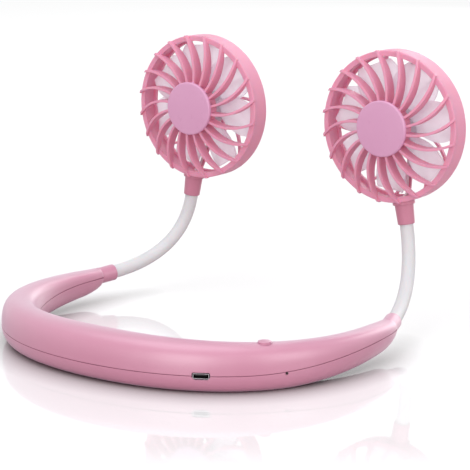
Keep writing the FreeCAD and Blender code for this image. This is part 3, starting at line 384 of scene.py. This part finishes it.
def settle(piece):
    """Turns what a piece's modifiers make into its own mesh."""
    made = piece.evaluated_get(bpy.context.evaluated_depsgraph_get())
    piece.data = bpy.data.meshes.new_from_object(made)
    piece.modifiers.clear()


SHARP_TURN = math.radians(32)


def band_shell(name, over, cuts):
    """One half of the band: a thin shell through its sections, with its openings cut."""
    points = []
    faces = []
    for share, closing in stations:
        points.extend(shell_row(band_station(share), over, closing))
    width = len(points) // len(stations)
    for row in range(len(stations) - 1):
        for step in range(width - 1):
            first = row * width + step
            face = (first, first + width, first + width + 1, first + 1)
            faces.append(face if over > 0 else face[::-1])
    shell = new_piece(name, points, faces, band_plastic.material, seam_painted_shade.material)
    # The strips at both lips take the darker seam material: painted shade along the groove.
    shaded_lip_strips = (0, width - 2)
    for number, face in enumerate(shell.data.polygons):
        face.material_index = 1 if number % (width - 1) in shaded_lip_strips else 0
    wall = shell.modifiers.new("wall", "SOLIDIFY")
    wall.thickness = SHELL_WALL
    wall.offset = -1.0
    tool_points = []
    tool_faces = []
    for block_points, block_faces in cuts:
        shift = len(tool_points)
        tool_points.extend(block_points)
        tool_faces.extend(tuple(corner + shift for corner in face) for face in block_faces)
    tool = new_piece(f"{name}_tool", tool_points, tool_faces)
    opening = shell.modifiers.new("openings", "BOOLEAN")
    opening.object = tool
    opening.operation = "DIFFERENCE"
    opening.solver = "EXACT"
    settle(shell)
    bpy.data.objects.remove(tool)
    shell.data.set_sharp_from_angle(angle=SHARP_TURN)
    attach(shell, "neckband")
    return shell


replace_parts(band_shell("band_crown", 1, [*side_cuts, button_cut]), "upper_shell")
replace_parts(band_shell("band_belly", -1, [*side_cuts, *screw_cuts]), "lower_shell")

# Screws
# Three plated self-tapping screws, sunk into the underside, hold the band's shells together.
# The screws and shafts of the motors are turned from the same steel.
SCREW_MARKS_SCALE = 900.0
SCREW_MARKS_DETAIL = 3.0


def bright_metal(name, pale, deep, scale, detail, roughness, wander):
    """Turned or drawn metal: fine tool marks in its colour and its gloss."""
    material, shader, spot = new_material(name, Metallic=1.0)
    marks = noise(spot, scale, detail)
    mix_colours(marks, pale, deep).into(shader, "Base Color")
    (roughness + marks * wander).into(shader, "Roughness")
    return material


screw_steel = bright_metal(
    "screw_steel", pale=tint(190, 190, 194), deep=tint(150, 150, 156),
    scale=SCREW_MARKS_SCALE, detail=SCREW_MARKS_DETAIL, roughness=0.25, wander=0.2,
)
paint(screw_steel, "shell_screws", "motor_screws_left", "motor_screws_right")
paint(screw_steel, "motor_shaft_left", "motor_shaft_right")

# Cells
# Two rechargeable cells, steel cans in a shrunk blue film.  They lie in cradles in the lower shell, one on
# each side of the band's back.
cell_wrap = moulded_plastic(
    "cell_wrap", pale=tint(70, 120, 180), deep=tint(60, 105, 165), roughness=0.3, grain=0.05
)
paint(cell_wrap.material, "battery_cell_left", "battery_cell_right")

# Control board and leads
# A green laminate strip that follows the band on posts in the lower shell.  It carries the push switch, the
# lamp and the lamp's light guide, and vinyl leads run from it to the motors.
board_green = moulded_plastic(
    "board_green", pale=tint(28, 96, 58), deep=tint(20, 78, 46), roughness=0.35, grain=0.2
)
paint(board_green.material, "control_board")
switch_black = moulded_plastic(
    "switch_black", pale=tint(30, 30, 32), deep=tint(22, 22, 24), roughness=0.45, grain=0.2
)
paint(switch_black.material, "tact_switch", "switch_plunger")
lamp_white = moulded_plastic(
    "lamp_white", pale=tint(240, 238, 222), deep=tint(230, 226, 206), roughness=0.25, grain=0.05
)
paint(lamp_white.material, "status_led")
lens_dark = moulded_plastic(
    "lens_dark", pale=tint(52, 26, 34), deep=tint(40, 20, 26), roughness=0.2, grain=0.02
)
paint(lens_dark.material, "indicator_lens")
lead_vinyl = moulded_plastic(
    "lead_vinyl", pale=tint(232, 214, 218), deep=tint(222, 200, 206), roughness=0.4, grain=0.1
)
paint(lead_vinyl.material, "band_lead_left", "band_lead_right", "head_lead_left", "head_lead_right")

# Charging socket
# A drawn, plated steel can, its mouth just inside the slot at the seam.  Only the can's rim is bright metal;
# a little way inside the mouth its colour and metal fade to black, as painted shade in the opening.
SOCKET_SETOUT = 9.15 * mm
PAINTED_SHADE_DEPTH = 0.35 * mm
SOCKET_PAINTED_SHADE = tint(14, 13, 14)
PAINTED_SHADE_ROUGHNESS = 0.5
RIM_POLISH = 0.25
DRAWN_SCALE = 1400.0
DRAWN_DETAIL = 2.0
DRAWN_GLOSS = 0.16
socket_mouth = socket_station.spot + socket_station.outward * SOCKET_SETOUT
socket_metal, socket_shader, socket_spot = new_material("socket_metal")
drawn = noise(socket_spot, DRAWN_SCALE, DRAWN_DETAIL)
from_mouth = socket_spot.add(
    "ShaderNodeVectorMath", {"operation": "SUBTRACT"}, {0: socket_spot, 1: socket_mouth}
)
past_mouth = from_mouth.add(
    "ShaderNodeVectorMath", {"operation": "DOT_PRODUCT"}, {0: from_mouth, 1: socket_station.outward}, "Value"
)
rim = past_mouth.add(
    "ShaderNodeMapRange",
    None,
    {"Value": past_mouth, "From Min": -PAINTED_SHADE_DEPTH, "From Max": -PAINTED_SHADE_DEPTH / 2},
)
plating = mix_colours(drawn, tint(164, 160, 163), tint(136, 132, 136))
# Past the rim the can is painted black and not metal: painted shade inside the opening.
mix_colours(rim, SOCKET_PAINTED_SHADE, plating).into(socket_shader, "Base Color")
rim.into(socket_shader, "Metallic")
(PAINTED_SHADE_ROUGHNESS - rim * RIM_POLISH + drawn * DRAWN_GLOSS).into(socket_shader, "Roughness")
paint(socket_metal, "usb_socket")

# Power button
# A low domed cap, moulded in the band's own plastic.  It stands a little proud of the crown, slides in its
# hole and presses the board's switch through a short plunger.
paint(band_plastic.material, "power_button")

# Collars
# Short ferrules in the band's plastic, held between both shells at the band's ends.
# Each grips the foot of a gooseneck where it leaves the band.
paint(band_plastic.material, "arm_collar_left", "arm_collar_right")

# Goosenecks
# A pale grey silicone sleeve over a bendable metal core that holds its shape, with the lead inside.
# It bends near its foot and again under the head.  Each is made here in two lengths, split halfway along its
# line.
SILICONE_DEPTH = 3.0 * mm
SILICONE_ROUGHNESS = 0.5
POWDER_SCALE = 120.0
POWDER_DETAIL = 4.0
POWDER_GLOSS = 0.15
PORE_SCALE = 3000.0
PORE_DETAIL = 2.0
PORE_STRENGTH = 0.12
PORE_DEPTH = 0.05 * mm
silicone, silicone_shader, silicone_spot = new_material(
    "sleeve_silicone", Subsurface_Weight=0.12, Subsurface_Scale=SILICONE_DEPTH
)
powder = noise(silicone_spot, POWDER_SCALE, POWDER_DETAIL)
pores = noise(silicone_spot, PORE_SCALE, PORE_DETAIL)
mix_colours(powder, tint(221, 221, 222), tint(213, 213, 215)).into(silicone_shader, "Base Color")
(SILICONE_ROUGHNESS + (powder - NOISE_MIDDLE) * POWDER_GLOSS).into(silicone_shader, "Roughness")
silicone_bump = pores.add(
    "ShaderNodeBump", None, {"Strength": PORE_STRENGTH, "Distance": PORE_DEPTH, "Height": pores}
)
silicone_bump.into(silicone_shader, "Normal")


def hose(name, line, radius, steps, material):
    """A round tube along a line of points."""
    points = []
    faces = []
    side = RIGHT
    for index, spot in enumerate(line):
        way = (line[min(index + 1, len(line) - 1)] - line[max(index - 1, 0)]).normalized()
        side = (side - way * side.dot(way)).normalized()
        over = way.cross(side)
        for across, rise in round_outline(radius, steps):
            points.append(spot + side * across + over * rise)
    for index in range(len(line) - 1):
        low = index * steps
        high = low + steps
        for step in range(steps):
            after = (step + 1) % steps
            faces.append((low + step, low + after, high + after, high + step))
    return new_piece(name, points, faces, material)


SIDES = {"left": -1, "right": 1}
SLEEVE_RADIUS = 3.5 * mm
SLEEVE_STEPS = 40
SLEEVE_INSERT = 6.0 * mm
HEAD_LEAN = math.radians(9.4)
NECK_CORNER_DROP = 35.0 * mm
COLLAR_SHOW = 10.0 * mm
STEM_SETBACK = 6.2 * mm
STEM_END = 50.7 * mm
BEND_RADIUS = 36.0 * mm
FOOT_HANDLE = 32.3 * mm
TOP_HANDLE = 21.7 * mm
NECK_STATIONS = 64
hinges = [joint for joint in frame["joints"] if joint["type"] == "hinge"]
joint_places = {hinge["name"]: Vector(hinge["pos_m"]) for hinge in hinges}
for side, sign in SIDES.items():
    up = Matrix.Rotation(-sign * HEAD_LEAN, 3, "Y") @ UP
    mouth = joint_places[f"{side}_fan_spin"] + FORWARD * STEM_SETBACK - up * STEM_END
    corner = mouth - up * NECK_CORNER_DROP
    seat = Vector((sign * BAND_END.x, BAND_END.y, SEAT_HEIGHT))
    out = (corner - seat).normalized()
    trim = BEND_RADIUS * math.tan(out.angle(up) / 2)
    collar_mouth = seat + out * COLLAR_SHOW
    sweep = geometry.interpolate_bezier(
        collar_mouth, collar_mouth + out * FOOT_HANDLE, mouth - up * TOP_HANDLE, mouth, NECK_STATIONS
    )
    line = [collar_mouth - out * SLEEVE_INSERT, *sweep, mouth + up * SLEEVE_INSERT]
    split = len(line) // 2
    foot = hose(f"gooseneck_foot_{side}", line[: split + 1], SLEEVE_RADIUS, SLEEVE_STEPS, silicone)
    top = hose(f"gooseneck_top_{side}", line[split:], SLEEVE_RADIUS, SLEEVE_STEPS, silicone)
    bend = corner - out * trim
    bend * 2 - collar_mouth
    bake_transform(foot)
    nod = joint_places[f"{side}_head_nod"]
    nod * 2 - mouth
    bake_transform(top)
    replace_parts(foot, f"gooseneck_sleeve_{side}", f"gooseneck_core_{side}", f"gooseneck_lead_{side}")

# Stems
# A tapered socket under each cage that grips the gooseneck's upper end.
# It is moulded in the cage's kind of plastic, a shade deeper.
stem_plastic = moulded_plastic(
    "stem_plastic", pale=tint(206, 135, 157), deep=tint(198, 126, 149), roughness=0.36, grain=0.1,
    Coat_Weight=0.15, Coat_Roughness=0.3,
)
paint(stem_plastic.material, "head_stem_left", "head_stem_right")

# Rear housings
# The back of each cage: a wide ring wall, domed ribs and the motor's cup, moulded in one piece of pink
# plastic that lets a little light through.  Two screws hold the motor in its cup.
CAGE_DEPTH = 4.0 * mm
cage_plastic = moulded_plastic(
    "cage_plastic", pale=tint(236, 166, 190), deep=tint(230, 155, 181), roughness=0.4, grain=0.1,
    Specular_IOR_Level=0.2, Subsurface_Weight=0.2, Subsurface_Scale=CAGE_DEPTH,
)
paint(cage_plastic.material, "rear_housing_left", "rear_housing_right")

# Motors
# A bright can, deep-drawn from steel, sits in the cup of each housing.
# Its shaft turns in two bronze bushes.
CAN_MARKS_SCALE = 700.0
CAN_MARKS_DETAIL = 4.0
motor_metal = bright_metal(
    "motor_metal", pale=tint(196, 196, 200), deep=tint(168, 168, 174),
    scale=CAN_MARKS_SCALE, detail=CAN_MARKS_DETAIL, roughness=0.25, wander=0.15,
)
paint(motor_metal, "motor_can_left", "motor_can_right")
bush_bronze = moulded_plastic(
    "bush_bronze", pale=tint(176, 132, 82), deep=tint(158, 116, 70), roughness=0.4, grain=0.2, Metallic=1.0
)
paint(bush_bronze.material, "motor_bushes_left", "motor_bushes_right")

# Impellers
# White, slightly see-through mouldings: a cup over the motor with seven broad bowed blades.
# Each is pressed on its motor's shaft.
BLADE_GLOW = tint(249, 247, 252)
BLADE_GLOW_SHARE = 0.6
BLADE_CLEAR_SHARE = 0.25
blade_plastic = moulded_plastic(
    "blade_plastic", pale=tint(252, 250, 254), deep=tint(246, 243, 250), roughness=0.28, grain=0.05
)
through = blade_plastic.spot.add("ShaderNodeBsdfTranslucent", None, {"Color": BLADE_GLOW})
solid = Finish(through.tree, blade_plastic.shader.outputs["BSDF"])
milky = through.add("ShaderNodeMixShader", None, {0: BLADE_GLOW_SHARE, 1: solid, 2: through})
clear = through.add("ShaderNodeBsdfTransparent")
blade_skin = through.add("ShaderNodeMixShader", None, {0: BLADE_CLEAR_SHARE, 1: milky, 2: clear})
blade_skin.into(through.tree.nodes["Material Output"], "Surface")
paint(blade_plastic.material, "impeller_left", "impeller_right")

# Front grilles
# Twenty fins that swirl from the hub to the rim of each cage, with lugs round the rim.
# They are moulded in the housing's plastic and close it at the front.
paint(cage_plastic.material, "front_grille_left", "front_grille_right")

# Hub discs
# Slightly domed satin covers with a rounded rim, moulded a shade cooler than the cage and pegged into
# the grilles' hubs.
CAP_RADIUS = 14.4 * mm
CAP_CROWN = 0.5 * mm
CAP_EDGE = 1.8 * mm
CAP_ROUNDING = 0.9 * mm
CAP_BACK_RADIUS = 12.8 * mm
DOME_STEPS = 10
ROUNDING_STEPS = 8
CAP_STEPS = 96
hub_plastic = moulded_plastic(
    "hub_plastic", pale=tint(222, 168, 200), deep=tint(216, 158, 193), roughness=0.3, grain=0.06,
    Coat_Weight=0.15, Coat_Roughness=0.2,
)
cap_flat = CAP_RADIUS - CAP_ROUNDING
cap_back = CAP_CROWN + CAP_EDGE
cap_profile = []
for step in range(1, DOME_STEPS + 1):
    share = step / DOME_STEPS
    cap_profile.append((cap_flat * share, CAP_CROWN * share**2))
for step in range(1, ROUNDING_STEPS + 1):
    turn = math.pi / 2 * step / ROUNDING_STEPS
    depth = CAP_CROWN + CAP_ROUNDING * (1 - math.cos(turn))
    cap_profile.append((cap_flat + CAP_ROUNDING * math.sin(turn), depth))
cap_profile.extend([(CAP_RADIUS, cap_back), (CAP_BACK_RADIUS, cap_back)])
for side in SIDES:
    centre = joint_places[f"{side}_fan_spin"]
    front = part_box(f"hub_cap_{side}")[0][1]
    points = [Vector((centre.x, front, centre.z))]
    faces = []
    for radius, depth in cap_profile:
        for across, rise in round_outline(radius, CAP_STEPS):
            points.append(Vector((centre.x + across, front + depth, centre.z + rise)))
    for step in range(CAP_STEPS):
        after = (step + 1) % CAP_STEPS
        faces.append((0, 1 + step, 1 + after))
        for row in range(len(cap_profile) - 1):
            low = 1 + row * CAP_STEPS
            high = low + CAP_STEPS
            faces.append((low + step, high + step, high + after, low + after))
    disc = new_piece(f"hub_disc_{side}", points, faces, hub_plastic.material)
    disc.data.set_sharp_from_angle(angle=SHARP_TURN)
    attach(disc, f"{side}_head")
    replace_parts(disc, f"hub_cap_{side}")

# Table, light and camera
# A plain white table top in a white studio, with wide soft lamps and the photograph's camera.  The table's
# gloss fades out in front of the band, so the mirror image ends there, and comes back far away.
AZIMUTH = math.radians(36.0)
ELEVATION = math.radians(12.2)
FLOOR_REACH = 6.0
FLOOR_CORNER_SHARES = ((-1, -1, 0), (1, -1, 0), (1, 1, 0), (-1, 1, 0))
FLOOR_NEAR = (0.78, 0.78, 0.78, 1.0)
FLOOR_FAR = (0.98, 0.98, 0.98, 1.0)
FLOOR_BOUNCE = (0.46, 0.36, 0.38, 1.0)
FLOOR_LIFT = (0.22, 0.22, 0.22, 1.0)
BLACK = (0.0, 0.0, 0.0, 1.0)
WHITE = (1.0, 1.0, 1.0, 1.0)
GLOSS_FADES = 165.0 * mm
GLOSS_GONE = 218.0 * mm
FAR_BEGINS = 0.3
FAR_ENDS = 1.8
PAINTED_SHADOW_REACH = 18.0 * mm
PAINTED_SHADOW_SAMPLES = 8
floor_corners = [Vector(corner) * FLOOR_REACH for corner in FLOOR_CORNER_SHARES]
floor = new_piece("table_top", floor_corners, [(0, 1, 2, 3)])
floor_white, floor_shader, floor_spot = new_material(
    "floor_white", Specular_IOR_Level=0.0, Coat_IOR=2.6, Coat_Roughness=0.03, Emission_Strength=1.0
)


def fade(value, start, end):
    """A value's gentle rise from 0 at the start to 1 at the end."""
    return value.add(
        "ShaderNodeMapRange",
        {"interpolation_type": "SMOOTHSTEP"},
        {"Value": value, "From Min": start, "From Max": end},
    )


toward_camera = (math.sin(AZIMUTH), -math.cos(AZIMUTH), 0.0)
in_front = floor_spot.add(
    "ShaderNodeVectorMath", {"operation": "DOT_PRODUCT"}, {0: floor_spot, 1: toward_camera}, "Value"
)
from_middle = floor_spot.add("ShaderNodeVectorMath", {"operation": "LENGTH"}, {0: floor_spot}, "Value")
matt = fade(in_front, GLOSS_FADES, GLOSS_GONE)
distance = fade(from_middle, FAR_BEGINS, FAR_ENDS)
from_above = 1 - floor_spot.add("ShaderNodeLayerWeight", output="Facing")
polish = (1 - matt * (1 - distance)) * (1 - from_above * from_above)
polish.into(floor_shader, "Coat Weight")
# Ambient occlusion darkens the table's colour and its glow close to the band: a painted contact shadow.
outside_painted_shadow = floor_spot.add(
    "ShaderNodeAmbientOcclusion", {"samples": PAINTED_SHADOW_SAMPLES}, {"Distance": PAINTED_SHADOW_REACH}, "AO"
)
in_view = floor_spot.add("ShaderNodeLightPath", output="Is Camera Ray")
whiteness = mix_colours(distance, FLOOR_NEAR, FLOOR_FAR)
floor_with_painted_shadow = mix_colours(outside_painted_shadow, BLACK, whiteness)
mix_colours(in_view, FLOOR_BOUNCE, floor_with_painted_shadow).into(floor_shader, "Base Color")
mix_colours(in_view * outside_painted_shadow, BLACK, FLOOR_LIFT).into(floor_shader, "Emission Color")
floor.data.materials.append(floor_white)

STUDIO_LIGHT = 0.62
world = bpy.data.worlds.new("studio")
world.use_nodes = True
bpy.context.scene.world = world
sky = world.node_tree.nodes["Background"]
sky_ray = world.node_tree.nodes.new("ShaderNodeLightPath")
straight_ray = Finish(world.node_tree, sky_ray.outputs["Is Camera Ray"])
for name in ("Is Glossy Ray", "Is Transmission Ray"):
    straight_ray = straight_ray + Finish(world.node_tree, sky_ray.outputs[name])
(STUDIO_LIGHT + straight_ray * (1 - STUDIO_LIGHT)).into(sky, "Strength")
sky.inputs["Color"].default_value = WHITE


def soft_lamp(name, place, aim, size, watts, colour=WHITE[:3]):
    """A wide square lamp that faces a point."""
    lamp = bpy.data.lights.new(name, "AREA")
    lamp.size = size
    lamp.energy = watts
    lamp.color = colour
    holder = bpy.data.objects.new(name, lamp)
    holder.location = place
    holder.rotation_euler = (Vector(aim) - Vector(place)).to_track_quat("-Z", "Y").to_euler()
    bpy.context.scene.collection.objects.link(holder)


COOL_WHITE = (0.92, 0.94, 1.0)
soft_lamp(
    "overhead_lamp", place=(-0.2, -0.3, 1.6), aim=(0, 0, 0.05), size=1.4, watts=10.5, colour=COOL_WHITE
)
soft_lamp("front_lamp", place=(0.4, -1.6, 0.45), aim=(0, 0, 0.1), size=1.0, watts=9.0)
soft_lamp("right_lamp", place=(1.5, -0.2, 0.6), aim=(0, 0, 0.1), size=0.9, watts=6.0)
soft_lamp("back_lamp", place=(-0.1, 1.6, 0.6), aim=(0, 0.08, 0.1), size=1.2, watts=9.0)

EYE_FROM_FANS = Vector((537.4, -787.9, 142.4)) * mm
FOCAL_PIXELS = 1826.0
PICTURE_PIXELS = 470.0
SENSOR_WIDTH = 36.0
between_fans = (joint_places["left_fan_spin"] + joint_places["right_fan_spin"]) / 2
camera = bpy.data.cameras.new("photo_camera")
camera.sensor_width = SENSOR_WIDTH
camera.lens = SENSOR_WIDTH * FOCAL_PIXELS / PICTURE_PIXELS
viewer = bpy.data.objects.new("photo_camera", camera)
viewer.matrix_world = (
    Matrix.Translation(between_fans + EYE_FROM_FANS)
    @ Matrix.Rotation(AZIMUTH, 4, "Z")
    @ Matrix.Rotation(math.pi / 2 - ELEVATION, 4, "X")
)
bpy.context.scene.collection.objects.link(viewer)
bpy.context.scene.camera = viewer
bpy.context.scene.view_settings.view_transform = "Standard"
